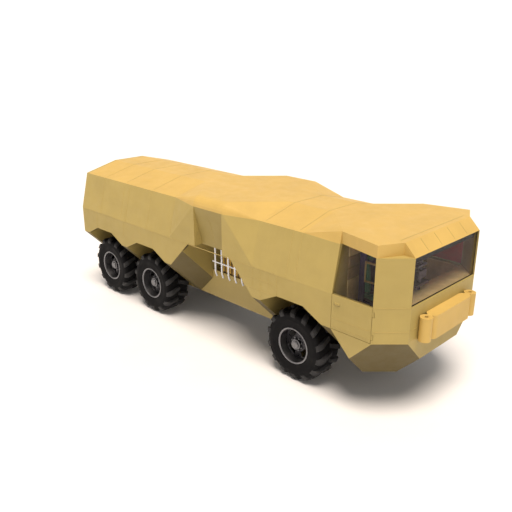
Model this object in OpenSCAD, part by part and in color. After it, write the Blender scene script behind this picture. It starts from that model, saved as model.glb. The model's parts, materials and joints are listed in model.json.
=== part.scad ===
// Six-wheeled cargo truck with a faceted hull, a cab ahead of the front axle
// and a cargo box over the rear pair of axles.
// +X is forward, +Y is the left side, +Z is up. The origin is on the ground,
// in the middle of the length and of the width.

/* [Hull] */
// Overall width of the hull
hull_w = 2800; // [2500:10:3200]
// Length of the straight cargo box
cargo_len = 3400; // [2800:10:4000]
// Length of each faceted stretch between two hull sections
facet_len = 800; // [660:10:960]
// Length of the waist with the recessed panels
waist_len = 800; // [660:10:960]
// Length of the straight engine section
engine_len = 1000; // [860:10:1200]
// Length of the cab, from its rear wall to the windscreen
cab_len = 1200; // [1140:10:1440]
// How far the cab's corners are cut back
corner_cut = 400; // [340:10:460]
// Length of the roof's slope over the windscreen
visor_len = 200; // [160:10:220]
// Thickness of the hull's walls, doors and roof
wall = 60; // [40:1:80]
// Height of the belt line over the ground
belt_z = 1970; // [1900:10:2100]
// Height from the belt line to the shoulder
shoulder_h = 800; // [680:10:960]
// Height from the shoulder to the flat roof
crown_h = 200; // [170:10:240]
// How far the shoulder lies in from the hull's side
shoulder_in = 200; // [160:10:240]
// Half width of the flat roof over the cargo box
roof_half = 400; // [320:10:480]
// Depth of the side panels under the belt line
skirt_h = 600; // [500:10:660]
// Depth of the V-shaped hull under the side panels
keel_h = 800; // [700:10:860]
// Half width of the central spine
spine_half = 600; // [500:10:620]
// Half width of the spine between the steered wheels
spine_front_half = 380; // [320:5:390]
// Height of the spine's top over its bottom, in the open bay
spine_bay_h = 600; // [500:10:700]

/* [Wheels] */
// Radius of a tyre over its lugs
tyre_r = 670; // [620:5:690]
// Width of a tyre
tyre_w = 590; // [480:5:600]
// Distance of a wheel's middle from the hull's middle
track_half = 1005; // [985:1:1080]
// Radius of the rim's lip
rim_r = 340; // [320:1:360]
// Depth of the rim's lip outside the tyre's bead
rim_lip = 24; // [18:1:30]
// Thickness of the rim's pressed steel
rim_wall = 16; // [12:1:20]
// Middle of the rear axle, ahead of the tail
rear_axle_x = 900; // [860:5:940]
// Distance between the two rear axles
tandem_pitch = 1600; // [1500:5:1620]
// Distance from the engine section's start to the front axle
front_axle_in = 900; // [860:5:940]
// Radius of the half axles
axle_r = 80; // [60:1:90]
// Radius of the wheel spindles
spindle_r = 50; // [40:1:60]
// Radius of the kingpins
kingpin_r = 22; // [16:1:28]
// Clearance round a shaft in its bore
bore_clear = 0.3; // [0.2:0.1:0.5]

/* [Doors] */
// Gap round a door
door_gap = 8; // [6:1:12]
// Radius of a hinge barrel
barrel_r = 10; // [8:1:14]
// Radius of a hinge pin
pin_r = 5; // [4:0.5:6]
// Length of a hinge barrel
barrel_h = 80; // [60:5:120]
// Width of the rear doorway
doorway_w = 2000; // [1800:10:2080]
// Height of the rear doorway
doorway_h = 1080; // [900:10:1120]
// Thickness of the glass
glass_t = 20; // [12:1:30]

/* [Front] */
// How far the bumper stands out from the front
bumper_d = 200; // [160:10:240]
// Height of the bumper
bumper_h = 400; // [320:10:460]
// Half width of the bumper's plate
bumper_half = 600; // [500:10:620]
// Distance of the bumper's posts from the middle
post_y = 700; // [680:5:760]
// Radius of the tow bores in the bumper's posts
tow_r = 30; // [20:1:40]

/* [Fittings] */
// Number of upright bars in each side rack
rack_bars = 5; // [4:1:6]
// Distance between the upright bars
rack_pitch = 195; // [180:1:210]
// Radius of a rack bar
rack_r = 18; // [14:1:24]
// Diameter of the steering wheel
steer_d = 440; // [400:5:480]
// Width of the driver's seat
seat_w = 480; // [440:5:520]

/* [Hidden] */
$fn = 64;

hull_colour = [0.74, 0.65, 0.38];
roof_colour = [0.9, 0.76, 0.46];
under_colour = [0.42, 0.36, 0.2];
tyre_colour = [0.06, 0.06, 0.06];
rim_colour = [0.2, 0.2, 0.21];
steel_colour = [0.3, 0.3, 0.3];

// Stations along the hull, from the tail to the windscreen
hull_len = cargo_len + 3 * facet_len + waist_len + engine_len + cab_len;
tail_x = -(hull_len + bumper_d) / 2;
cargo_x = tail_x + cargo_len;
waist_x = cargo_x + facet_len;
waist_end_x = waist_x + waist_len;
engine_x = waist_end_x + facet_len;
engine_end_x = engine_x + engine_len;
cab_x = engine_end_x + facet_len;
face_x = cab_x + cab_len;
corner_x = face_x - corner_cut;
visor_x = face_x - visor_len;

// Heights
shoulder_z = belt_z + shoulder_h;
roof_z = shoulder_z + crown_h;
skirt_z = belt_z - skirt_h;
keel_z = skirt_z - keel_h;
arch_z = skirt_z + 200;
floor_z = arch_z + wall;
spine_bay_z = keel_z + spine_bay_h;

// Half widths
side_y = hull_w / 2;
shoulder_y = side_y - shoulder_in;
bay_y = side_y - shoulder_in;
corner_y = side_y - corner_cut;
bay_lift = keel_h / 2;
wall_block = 200;

// Axles and wheels; distances along a wheel's axis run outwards from its middle
rear_x = tail_x + rear_axle_x;
middle_x = rear_x + tandem_pitch;
front_x = engine_x + front_axle_in;
hub_z = tyre_r;
bead_r = rim_r - rim_lip;
rim_half = tyre_w / 2 - 15;
lip_t = 14;
disc_s = tyre_w / 2 - 190;
disc_t = 16;
hub_r = spindle_r + 45;
cap_s = tyre_w / 2 - 60;
spindle_end_s = cap_s - 30;
knuckle_r = kingpin_r + 34;
hub_s = knuckle_r + 14;
shoulder_s = hub_s - 6;
knuckle_half = 90;
ear_t = 34;
ear_gap = 6;
yoke_s = knuckle_r + 20;
yoke_t = 55;

// Doors: a hinge's axis lies this far inside the fixed edge beside the door
hinge_in = barrel_r + 6;
pocket_r = barrel_r + 6;
pocket_gap = 6;
jamb_x = corner_x - hinge_in;
door_front_x = jamb_x - door_gap;
door_rear_x = cab_x + door_gap;
door_hinge_z = [skirt_z + 110, belt_z - 110];
doorway_z = floor_z + 20;
rear_hinge_y = doorway_w / 2 + door_gap + hinge_in;
rear_hinge_z = [doorway_z + 160, doorway_z + doorway_h - 160];
glass_in = 15;

// Cab fittings
cab_floor_z = skirt_z + wall;
glass_x = face_x - wall + 5;
seat_y = -640;
seat_x = cab_x + 220;
seat_z = belt_z - 120;
dash_top_z = belt_z - 10;
dash_x = face_x - 420;
steer_reach = 500;
console_y = -240;
console_x = corner_x + 60;

// Tow point in the tail
tow_recess_w = 240;
tow_recess_d = 160;
tow_plate_t = 100;
tow_recess_h = 200;
tow_pin_x = 80;

// Bumper
post_r = bumper_d / 2;
link_t = 80;

// ---------- helpers ----------

// Convex solid through a list of points
module convex(points) {
    last = len(points) - 1;
    hull() polyhedron(points = points, faces = [for (i = [2 : last]) [0, i - 1, i]]);
}

// Both sides of the hull from one list of points on the left side
function both(points) = concat(points, [for (p = points) [p[0], -p[1], p[2]]]);

// A point's coordinates to a thousandth of a millimetre
function rounded(point) = [for (c = point) round(c * 1000) / 1000];

// Intersection of two lines that run parallel to a-b and b-c at a distance d inside
function corner_in(a, b, c, d) =
    let (u = (b - a) / norm(b - a), v = (c - b) / norm(c - b),
         n = [-u[1], u[0]], m = [-v[1], v[0]],
         k = 1 + n * m)
    rounded(b + (n + m) * (d / k));

// A convex outline, anticlockwise, moved in by d
function inset(outline, d) =
    let (n = len(outline))
    [for (i = [0 : n - 1])
        corner_in(outline[(i + n - 1) % n], outline[i], outline[(i + 1) % n], d)];

// Left half of an outline made whole, anticlockwise seen from the front
function mirrored(half) =
    concat(half, [for (i = [len(half) - 1 : -1 : 0]) [-half[i][0], half[i][1]]]);

// Points of an outline in Y and Z, placed at x
function at_x(outline, x) = [for (p = outline) [x, p[0], p[1]]];

// Hull section with the low shoulder, from height low up, inside the walls by d
function box_outline(low, d) = inset(mirrored([
    [side_y, low], [side_y, belt_z], [shoulder_y, shoulder_z], [roof_half, roof_z]]), d);

// Hull section with the round, high shoulder
function waist_outline(low) = mirrored(concat(
    [[side_y, low]],
    [for (a = [0 : 15 : 90]) rounded([
        shoulder_y + shoulder_in * cos(a), shoulder_z + crown_h * sin(a)])]));

// Hull section at the cab's rear wall
function cab_outline(low) = mirrored([
    [side_y, low], [side_y, belt_z], [shoulder_y, shoulder_z], [shoulder_y, roof_z]]);

// A section pushed along X
module prism_x(outline, x0, x1) {
    translate([x0, 0, 0]) rotate([90, 0, 90]) linear_extrude(x1 - x0) polygon(outline);
}

// An outline in X and Z pushed along Y
module prism_y(outline, y0, y1) {
    translate([0, y1, 0]) rotate([90, 0, 0]) linear_extrude(y1 - y0) polygon(outline);
}

// A box from its lowest corner to its highest
module block(low, high) {
    translate(low) cube(high - low);
}

// One child and its mirror image on the other side
module pair() {
    children();
    mirror([0, 1, 0]) children();
}

// The child on the left side, or mirrored to the right
module on_side(side) {
    if (side == "left") children();
    else mirror([0, 1, 0]) children();
}

// The outside of the hull between the cargo box and the cab, from height low up
module mid_hull(low) {
    convex(concat(at_x(box_outline(low, 0), cargo_x), at_x(waist_outline(low), waist_x)));
    convex(concat(at_x(waist_outline(low), waist_x), at_x(waist_outline(low), waist_end_x)));
    convex(concat(at_x(waist_outline(low), waist_end_x), at_x(box_outline(low, 0), engine_x)));
    prism_x(box_outline(low, 0), engine_x, engine_end_x);
    convex(concat(at_x(box_outline(low, 0), engine_end_x), at_x(cab_outline(low), cab_x)));
}

// The space inside it, which keeps its straight lining behind the facets
module mid_void() {
    difference() {
        prism_x(box_outline(skirt_z - wall * 2, wall), cargo_x - 1, cab_x + 1);
        waist_recess(-wall);
    }
}

// The wedge cut out of each side at the waist, d further out than the panel's face
module waist_recess(d) {
    pair() prism_x([
        [side_y + 1, belt_z - 1], [side_y + 1, shoulder_z], [side_y + d, shoulder_z],
        [bay_y + d, belt_z - 1]], waist_x + d, waist_end_x - d);
}

// Plan of the cab's front from x on, with its corners cut back
function cab_plan(x) = [
    [x, -side_y], [corner_x, -side_y], [face_x, -corner_y],
    [face_x, corner_y], [corner_x, side_y], [x, side_y]];

// The wall round the cab's front between two heights
module cab_wall(low, high) {
    translate([0, 0, low]) linear_extrude(high - low) difference() {
        polygon(cab_plan(jamb_x));
        polygon(inset(cab_plan(cab_x), wall));
    }
}

// The cab's roof space above the shoulder, inset by d and reaching down to low
module cab_top(low, d) {
    top = roof_z - d;
    cut_y = corner_y - d * 0.6;
    side = d * 1.03;
    convex(both([
        [cab_x - d, shoulder_y - side, low], [cab_x - d, shoulder_y - side, top],
        [corner_x - d * 0.4, side_y - side, low], [corner_x - d * 0.4, side_y - side, top],
        [visor_x - d * 0.8, cut_y, low], [visor_x - d * 0.8, cut_y, top]]));
    prism_y([
        [corner_x, top], [corner_x, low], [face_x - d * 1.42 + shoulder_z - low, low],
        [visor_x - d * 0.42, top]], -cut_y, cut_y);
}

// Outline of the side panels under the belt line, with wheel arches and the open bay
module skirt_outline(x0, x1) {
    bay_top = skirt_h;
    difference() {
        translate([x0, skirt_z]) square([x1 - x0, skirt_h]);
        for (x = [rear_x, middle_x, front_x])
            polygon([
                [x - 700, skirt_z - 1], [x - 700, skirt_z], [x - 300, arch_z],
                [x + 300, arch_z], [x + 700, skirt_z], [x + 700, skirt_z - 1]]);
        polygon([
            [cargo_x, skirt_z - 1], [cargo_x, skirt_z], [cargo_x + bay_top, belt_z],
            [engine_x - bay_top, belt_z], [engine_x, skirt_z], [engine_x, skirt_z - 1]]);
    }
}

// The left side panel's plate under the belt line
module skirt_plate(x0, x1) {
    translate([0, side_y, 0]) rotate([90, 0, 0]) linear_extrude(wall) skirt_outline(x0, x1);
}

// ---------- hull ----------

module chassis_spine() {
    color(hull_colour) difference() {
        union() {
            block([tail_x, -spine_half, keel_z], [cab_x, spine_half, arch_z]);
            for (x = [cargo_x, engine_x - wall_block * 2])
                block([x, -spine_half, keel_z], [x + wall_block * 2, spine_half, belt_z]);
        }
        // the open bay
        block([cargo_x + wall_block * 2, -spine_half - 1, spine_bay_z],
              [engine_x - wall_block * 2, spine_half + 1, belt_z]);
        // room for the steered wheels
        pair() block([engine_x + wall_block, spine_front_half, keel_z - 1],
                     [cab_x - wall_block, spine_half + 1, arch_z + 1]);
        // recess in the tail and the tow pin's bore through its two plates
        block([tail_x - 1, -tow_recess_w / 2, keel_z + tow_plate_t],
              [tail_x + tow_recess_d, tow_recess_w / 2, keel_z + tow_plate_t + tow_recess_h]);
        translate([tail_x + tow_pin_x, 0, keel_z - 1])
            cylinder(r = tow_r, h = tow_recess_h + 2 * tow_plate_t + 1);
    }
}
// Half of a V-shaped bulkhead, from x0 to x1, on the left side
module wing(x0, x1, inner) {
    convex([for (x = [x0, x1]) each [
        [x, side_y, skirt_z], [x, side_y, arch_z], [x, inner, arch_z], [x, inner, keel_z],
        [x, spine_half, keel_z]]]);
}

module hull_bulkheads() {
    color(hull_colour) pair() {
        difference() {
            union() {
                wing(tail_x, tail_x + wall_block, spine_half);
                wing((rear_x + middle_x - wall_block) / 2, (rear_x + middle_x + wall_block) / 2,
                     spine_half);
            }
            skirt_plate(tail_x + wall, cargo_x);
        }
        difference() {
            bay_wing(cargo_x, 1);
            skirt_plate(tail_x, engine_x);
        }
        difference() {
            bay_wing(engine_x, -1);
            skirt_plate(cargo_x, cab_x);
        }
        difference() {
            wing(cab_x - wall_block, cab_x, spine_half);
            skirt_plate(engine_x, cab_x);
        }
    }
}

// Half of a bulkhead whose lower edge rises towards the open bay
module bay_wing(x, dir) {
    far = x + dir * wall_block * 2;
    near = x - dir * wall_block;
    intersection() {
        convex([
            [near, side_y, skirt_z], [near, spine_half, keel_z],
            [x, side_y, skirt_z], [x, spine_half, keel_z],
            [far, side_y, skirt_z + bay_lift], [far, spine_half, keel_z + bay_lift],
            for (e = [near, far]) each [[e, spine_half, belt_z], [e, side_y, belt_z]]]);
        union() {
            block([min(near, far), 0, keel_z], [max(near, far), side_y, arch_z]);
            block([min(x, far), 0, keel_z], [max(x, far), side_y, belt_z]);
        }
    }
}

module nose() {
    drop = keel_h / 2;
    color(hull_colour) difference() {
        convex(both([
            [cab_x, side_y, skirt_z], [corner_x, side_y, skirt_z], [face_x, corner_y, skirt_z],
            [face_x, spine_half, skirt_z - drop], [corner_x, spine_half, keel_z],
            [cab_x + corner_cut, corner_y, keel_z], [cab_x + corner_cut, side_y, skirt_z - drop],
            [cab_x, spine_half, keel_z]]));
    }
    color(hull_colour) block(
        [cab_x, door_gap + wall - side_y, skirt_z],
        [corner_x - 30, side_y - wall - door_gap, cab_floor_z]);
}

module cargo_floor() {
    color(under_colour) block(
        [tail_x + wall, wall - side_y, arch_z], [cargo_x - wall, side_y - wall, floor_z]);
}

module bay_deck() {
    color(under_colour) intersection() {
        mid_void();
        block([cargo_x, -side_y, belt_z], [engine_x, side_y, belt_z + wall]);
    }
}

module engine_deck() {
    color(under_colour)
        block([engine_x, wall - side_y, arch_z], [cab_x, side_y - wall, floor_z]);
}

module cargo_shell() {
    difference() {
        prism_x(box_outline(skirt_z, 0), tail_x + wall, cargo_x);
        prism_x(box_outline(skirt_z - wall * 2, wall), tail_x + wall - 1, cargo_x + 1);
    }
}

module cargo_side(side) {
    color(hull_colour) on_side(side) {
        intersection() {
            cargo_shell();
            block([tail_x, 0, belt_z], [cargo_x, side_y + 1, shoulder_z]);
        }
        skirt_plate(tail_x + wall, cargo_x);
    }
}

module cargo_roof() {
    color(roof_colour) intersection() {
        cargo_shell();
        block([tail_x, -side_y, shoulder_z], [cargo_x, side_y, roof_z + 1]);
    }
}

module cargo_front_wall() {
    color(hull_colour) prism_x(box_outline(arch_z - wall, wall), cargo_x - wall, cargo_x);
}

module rear_frame() {
    color(hull_colour) difference() {
        prism_x(box_outline(arch_z, 0), tail_x, tail_x + wall);
        block([tail_x - 1, -doorway_w / 2 - door_gap, doorway_z - door_gap],
              [tail_x + wall + 1, doorway_w / 2 + door_gap, doorway_z + doorway_h + door_gap]);
        pair() translate([tail_x + barrel_r, rear_hinge_y, 0])
            for (z = rear_hinge_z) hinge_pocket(z, 180);
    }
    color(steel_colour) pair() translate([tail_x + barrel_r, rear_hinge_y, 0])
        for (z = rear_hinge_z) hinge_pin(z);
}

module rear_door(side) {
    color(hull_colour) on_side(side) {
        block([tail_x, door_gap / 2, doorway_z],
              [tail_x + wall, doorway_w / 2, doorway_z + doorway_h]);
        translate([tail_x + barrel_r, rear_hinge_y, 0])
            for (z = rear_hinge_z) hinge_barrel(z, -90);
    }
}

module mid_shell() {
    difference() {
        mid_hull(skirt_z);
        mid_void();
        waist_recess(0);
    }
}

module mid_side(side) {
    color(hull_colour) on_side(side) {
        intersection() {
            mid_shell();
            block([cargo_x, 0, belt_z], [cab_x, side_y + 1, shoulder_z]);
        }
        skirt_plate(cargo_x, cab_x);
    }
}

module mid_roof() {
    color(roof_colour) intersection() {
        mid_shell();
        block([cargo_x, -side_y, shoulder_z], [cab_x, side_y, roof_z + 1]);
    }
}

// ---------- cab ----------

// A hinge's pin on its left-hand axis, from below its pocket to above it
module hinge_pin(z) {
    translate([0, 0, z - barrel_h / 2 - pocket_gap - 10])
        cylinder(r = pin_r, h = barrel_h + 2 * pocket_gap + 20);
}

// The pocket that a hinge barrel and its leaf turn in, open on the side that open points to
module hinge_pocket(z, open) {
    h = barrel_h + 2 * pocket_gap;
    translate([0, 0, z - h / 2]) {
        cylinder(r = pocket_r, h = h);
        rotate([0, 0, open]) translate([0, -pocket_r - 5, 0])
            cube([pocket_r + 5, 2 * pocket_r + 10, h]);
        rotate([0, 0, open + 90]) translate([0, -barrel_r / 2 - pocket_gap, 0])
            cube([hinge_in + 1, barrel_r + 2 * pocket_gap, h]);
    }
}

// A hinge barrel and its leaf, which runs towards the door in the direction to
module hinge_barrel(z, to) {
    translate([0, 0, z - barrel_h / 2]) difference() {
        union() {
            cylinder(r = barrel_r, h = barrel_h);
            rotate([0, 0, to]) translate([0, -barrel_r / 2, 0])
                cube([hinge_in + door_gap + 10, barrel_r, barrel_h]);
        }
        translate([0, 0, -1]) cylinder(r = pin_r + bore_clear, h = barrel_h + 2);
    }
}

module cab_front() {
    color(hull_colour) difference() {
        cab_wall(skirt_z, belt_z);
        pair() translate([corner_x, side_y - barrel_r, 0])
            for (z = door_hinge_z) hinge_pocket(z, 90);
    }
    color(steel_colour) pair() translate([corner_x, side_y - barrel_r, 0])
        for (z = door_hinge_z) hinge_pin(z);
}

module cab_pillars() {
    ledge_t = 40;
    color(hull_colour) {
        difference() {
            cab_wall(belt_z, shoulder_z);
            block([dash_x, -corner_y, belt_z - 1], [face_x + 1, corner_y, shoulder_z + 1]);
        }
        pair() translate([0, 0, shoulder_z - ledge_t]) linear_extrude(ledge_t) polygon([
            [jamb_x, side_y], [corner_x, side_y], [face_x, corner_y],
            [visor_x - wall * 1.5, corner_y], [jamb_x, side_y - wall * 2.5]]);
    }
}

module cab_roof() {
    color(roof_colour) difference() {
        cab_top(shoulder_z, 0);
        cab_top(shoulder_z - wall, wall);
    }
}

module cab_rear_wall() {
    color(hull_colour) prism_x(box_outline(floor_z - wall, wall), cab_x - wall, cab_x);
}

module windshield() {
    color([0.55, 0.5, 0.5, 0.4])
        block([glass_x, -corner_y, belt_z], [glass_x + glass_t, corner_y, shoulder_z]);
}

module door(side) {
    color(hull_colour) on_side(side) {
        block([door_rear_x, side_y - wall, skirt_z + door_gap], [door_front_x, side_y, belt_z]);
        translate([corner_x, side_y - barrel_r, 0])
            for (z = door_hinge_z) hinge_barrel(z, 180);
    }
}

module door_glass(side) {
    top = shoulder_z - door_gap;
    out = side_y - glass_in;
    lean = shoulder_in * (top - belt_z) / shoulder_h;
    color([0.55, 0.5, 0.5, 0.4]) on_side(side) polyhedron(
        points = [for (y = [out, out - glass_t]) each [
            [door_rear_x, y, belt_z], [door_front_x, y, belt_z],
            [door_front_x, y, top], [door_rear_x, y - lean, top]]],
        faces = [[0, 2, 1], [0, 3, 2], [4, 5, 6], [4, 6, 7], [0, 1, 5], [0, 5, 4],
                 [1, 2, 6], [1, 6, 5], [2, 3, 7], [2, 7, 6], [3, 0, 4], [3, 4, 7]]);
}

module dashboard() {
    color([0.45, 0.38, 0.2]) intersection() {
        prism_y([
            [face_x, dash_top_z], [dash_x, dash_top_z], [dash_x, dash_top_z - 200],
            [dash_x + 120, dash_top_z - 380], [face_x, dash_top_z - 380]],
            wall * 1.5 - side_y, side_y - wall * 1.5);
        translate([0, 0, skirt_z]) linear_extrude(shoulder_z - skirt_z)
            polygon(inset(cab_plan(cab_x), wall));
    }
}

module control_console() {
    color([0.12, 0.04, 0.1]) translate([console_x, console_y, 0]) {
        translate([0, 0, dash_top_z]) cylinder(r = 30, h = belt_z + 560 - dash_top_z);
        block([-90, -190, belt_z + 80], [70, 190, belt_z + 120]);
        block([-60, -120, belt_z + 200], [50, 120, belt_z + 330]);
        block([-80, -170, belt_z + 420], [60, 100, belt_z + 446]);
        block([-70, -60, belt_z + 520], [60, 170, belt_z + 546]);
    }
}

module steering_wheel() {
    ring = steer_d / 2;
    color([0.1, 0.1, 0.1]) difference() {
        translate([dash_x - 180, seat_y, dash_top_z + 260]) rotate([0, 130, 0]) {
            rotate_extrude() translate([ring - 16, 0]) circle(r = 16, $fn = 32);
            for (a = [60, 180, 300]) rotate([0, 0, a]) translate([20, -18, -8])
                cube([ring - 36, 36, 14]);
            translate([0, 0, -30]) cylinder(r = 55, h = 50);
            cylinder(r = 28, h = steer_reach);
        }
        block([dash_x - 1, seat_y - 100, dash_top_z - 300],
              [face_x, seat_y + 100, dash_top_z]);
    }
}

module driver_seat() {
    color([0.1, 0.09, 0.16]) translate([seat_x, seat_y - seat_w / 2, 0]) {
        translate([0, seat_w, 0]) rotate([90, 0, 0]) linear_extrude(seat_w) {
            polygon([
                [-20, seat_z - 120], [430, seat_z - 100], [470, seat_z - 20], [430, seat_z + 30],
                [110, seat_z], [60, seat_z + 620], [0, seat_z + 640], [-60, seat_z + 600],
                [-60, seat_z]]);
        }
        translate([-60, seat_w / 2 - 140, seat_z + 600]) cube([150, 280, 170]);
        translate([60, seat_w / 2 - 120, cab_floor_z]) cube([240, 240, seat_z - 110 - cab_floor_z]);
    }
}

// ---------- fittings ----------

module engine() {
    color([0.25, 0.26, 0.27])
        block([engine_x + 150, -430, floor_z], [engine_end_x + 450, 430, floor_z + 850]);
}

module fuel_tank() {
    color([0.55, 0.4, 0.08])
        block([cargo_x + 700, -spine_half + 40, spine_bay_z],
              [engine_x - 500, spine_half - 40, belt_z - 80]);
}

module side_racks() {
    bar_y = spine_half + 200;
    first_x = (cargo_x + engine_x) / 2 - rack_pitch * (rack_bars - 1) / 2 - 90;
    color([0.93, 0.95, 1]) pair() {
        for (i = [0 : rack_bars - 1])
            translate([first_x + i * rack_pitch, bar_y, spine_bay_z])
                cylinder(r = rack_r, h = belt_z - spine_bay_z);
        translate([first_x - 80, bar_y, spine_bay_z + 300]) rotate([0, 90, 0])
            cylinder(r = rack_r - 4, h = rack_pitch * (rack_bars - 1) - 40);
    }
}

module bumper() {
    color(roof_colour) translate([face_x + post_r, 0, skirt_z]) difference() {
        union() {
            pair() translate([0, bumper_half - post_r, 0]) cylinder(r = post_r, h = bumper_h);
            block([-post_r, post_r - bumper_half, 0], [post_r, bumper_half - post_r, bumper_h]);
            pair() translate([0, post_y, 0]) cylinder(r = post_r, h = bumper_h);
            block([-link_t / 2, -post_y, 0], [link_t / 2, post_y, bumper_h]);
        }
        pair() translate([0, post_y, -1]) cylinder(r = tow_r, h = bumper_h + 2);
    }
}

// ---------- axles and wheels ----------

// A shaft along the wheel's axis on the left side, from s0 to s1 outwards of its middle
module shaft(r, s0, s1) {
    translate([0, s0, 0]) rotate([-90, 0, 0]) cylinder(r = r, h = s1 - s0);
}

module solid_axle(x) {
    color(steel_colour) pair() translate([x, track_half, hub_z]) {
        shaft(axle_r, spine_half - track_half, shoulder_s);
        shaft(spindle_r, 0, spindle_end_s);
    }
}

module front_axle() {
    ear_z = knuckle_half + ear_gap;
    color(steel_colour) pair() translate([front_x, track_half, hub_z]) {
        shaft(axle_r, spine_front_half - track_half, -yoke_s - yoke_t / 2);
        block([-axle_r * 0.7, -yoke_s - yoke_t, -ear_z - ear_t],
              [axle_r * 0.7, -yoke_s, ear_z + ear_t]);
        for (z = [ear_z, -ear_z - ear_t]) {
            translate([0, 0, z]) cylinder(r = knuckle_r, h = ear_t);
            block([-knuckle_r, -yoke_s - yoke_t / 2, z], [knuckle_r, 0, z + ear_t]);
        }
        translate([0, 0, -ear_z - ear_t / 2]) cylinder(r = kingpin_r, h = 2 * ear_z + ear_t);
    }
}

module knuckle(side) {
    color(steel_colour) on_side(side) translate([front_x, track_half, hub_z]) difference() {
        union() {
            translate([0, 0, -knuckle_half]) cylinder(r = knuckle_r, h = 2 * knuckle_half);
            shaft(spindle_r + 20, 0, shoulder_s);
            shaft(spindle_r, 0, spindle_end_s);
        }
        translate([0, 0, -knuckle_half - 1])
            cylinder(r = kingpin_r + bore_clear, h = 2 * knuckle_half + 2);
    }
}

// A ring turned about the wheel's axis from an outline of radius and distance outwards
module turned(outline) {
    rotate([-90, 0, 0]) rotate_extrude($fn = 96) polygon(outline);
}

// A wheel's place on the left or the right side
module at_wheel(x, side) {
    on_side(side) translate([x, track_half, hub_z]) children();
}

module rim(x, side) {
    drum = bead_r - rim_wall;
    windows = 4;
    color(rim_colour) at_wheel(x, side) difference() {
        turned([
            [spindle_r + bore_clear, hub_s], [hub_r, hub_s], [hub_r, disc_s], [drum, disc_s],
            [drum, -rim_half], [rim_r, -rim_half], [rim_r, lip_t - rim_half],
            [bead_r, lip_t - rim_half], [bead_r, rim_half - lip_t], [rim_r, rim_half - lip_t],
            [rim_r, rim_half], [drum, rim_half], [drum, disc_s + disc_t],
            [hub_r, disc_s + disc_t], [hub_r, cap_s], [0, cap_s], [0, spindle_end_s + 6],
            [spindle_r + bore_clear, spindle_end_s + 6]]);
        for (i = [0 : windows - 1]) rotate([0, i * 360 / windows + 45, 0])
            translate([(hub_r + drum) / 2, disc_s - 1, 0]) rotate([-90, 0, 0])
            cylinder(r = (drum - hub_r) / 2 - 30, h = disc_t + 2);
    }
}

module tyre(x, side) {
    half = tyre_w / 2;
    bead = rim_half - lip_t;
    color(tyre_colour) at_wheel(x, side) turned([
        [bead_r, -bead], [rim_r, -bead], [rim_r + 80, -half + 12], [tyre_r * 0.86, -half],
        [tyre_r - 24, -half + 6], [tyre_r, -half + 40], [tyre_r, half - 40],
        [tyre_r - 24, half - 6], [tyre_r * 0.86, half], [rim_r + 80, half - 12],
        [rim_r, bead], [bead_r, bead]]);
}

chassis_spine();
hull_bulkheads();
nose();
cargo_floor();
bay_deck();
engine_deck();
cargo_side("left");  // cargo_side_left
cargo_side("right");  // cargo_side_right
cargo_roof();
cargo_front_wall();
rear_frame();
rear_door("left");  // rear_door_left
rear_door("right");  // rear_door_right
mid_side("left");  // mid_side_left
mid_side("right");  // mid_side_right
mid_roof();
cab_front();
cab_pillars();
cab_roof();
cab_rear_wall();
windshield();
door("left");  // door_left
door("right");  // door_right
door_glass("left");  // door_glass_left
door_glass("right");  // door_glass_right
dashboard();
control_console();
steering_wheel();
driver_seat();
engine();
fuel_tank();
side_racks();
bumper();
front_axle();
solid_axle(middle_x);  // middle_axle
solid_axle(rear_x);  // rear_axle
knuckle("left");  // knuckle_left
knuckle("right");  // knuckle_right
rim(front_x, "left");  // rim_front_left
rim(front_x, "right");  // rim_front_right
rim(middle_x, "left");  // rim_middle_left
rim(middle_x, "right");  // rim_middle_right
rim(rear_x, "left");  // rim_rear_left
rim(rear_x, "right");  // rim_rear_right
tyre(front_x, "left");  // tyre_front_left
tyre(front_x, "right");  // tyre_front_right
tyre(middle_x, "left");  // tyre_middle_left
tyre(middle_x, "right");  // tyre_middle_right
tyre(rear_x, "left");  // tyre_rear_left
tyre(rear_x, "right");  // tyre_rear_right
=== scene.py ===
"""Looks for a six-wheeled cargo truck with a faceted hull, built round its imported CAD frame."""

import math

import bmesh
import bpy
import json
import numpy as np
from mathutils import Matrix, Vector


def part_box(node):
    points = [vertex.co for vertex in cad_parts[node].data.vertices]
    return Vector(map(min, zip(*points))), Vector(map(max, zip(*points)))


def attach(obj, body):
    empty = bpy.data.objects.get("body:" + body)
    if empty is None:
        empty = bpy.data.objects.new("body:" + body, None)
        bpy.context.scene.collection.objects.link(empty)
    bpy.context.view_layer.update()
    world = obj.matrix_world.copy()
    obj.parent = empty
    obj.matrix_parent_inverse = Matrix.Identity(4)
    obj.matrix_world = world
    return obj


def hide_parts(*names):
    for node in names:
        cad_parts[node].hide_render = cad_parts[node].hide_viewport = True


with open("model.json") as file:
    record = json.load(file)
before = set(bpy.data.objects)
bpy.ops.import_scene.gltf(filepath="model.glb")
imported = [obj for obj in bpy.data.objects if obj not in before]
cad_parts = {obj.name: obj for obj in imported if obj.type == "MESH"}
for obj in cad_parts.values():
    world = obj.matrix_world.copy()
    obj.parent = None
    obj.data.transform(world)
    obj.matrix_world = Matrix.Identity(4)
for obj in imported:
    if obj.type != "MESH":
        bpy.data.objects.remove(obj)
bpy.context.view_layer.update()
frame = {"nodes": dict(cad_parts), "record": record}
nodes = frame["nodes"]
HULL = "hull"
SIDES = {"left": 1, "right": -1}


# ---------- materials ----------


def new_material(name):
    made = bpy.data.materials.new(name)
    made.use_nodes = True
    shader = made.node_tree.nodes["Principled BSDF"]
    return made, made.node_tree.nodes, made.node_tree.links, shader


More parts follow.
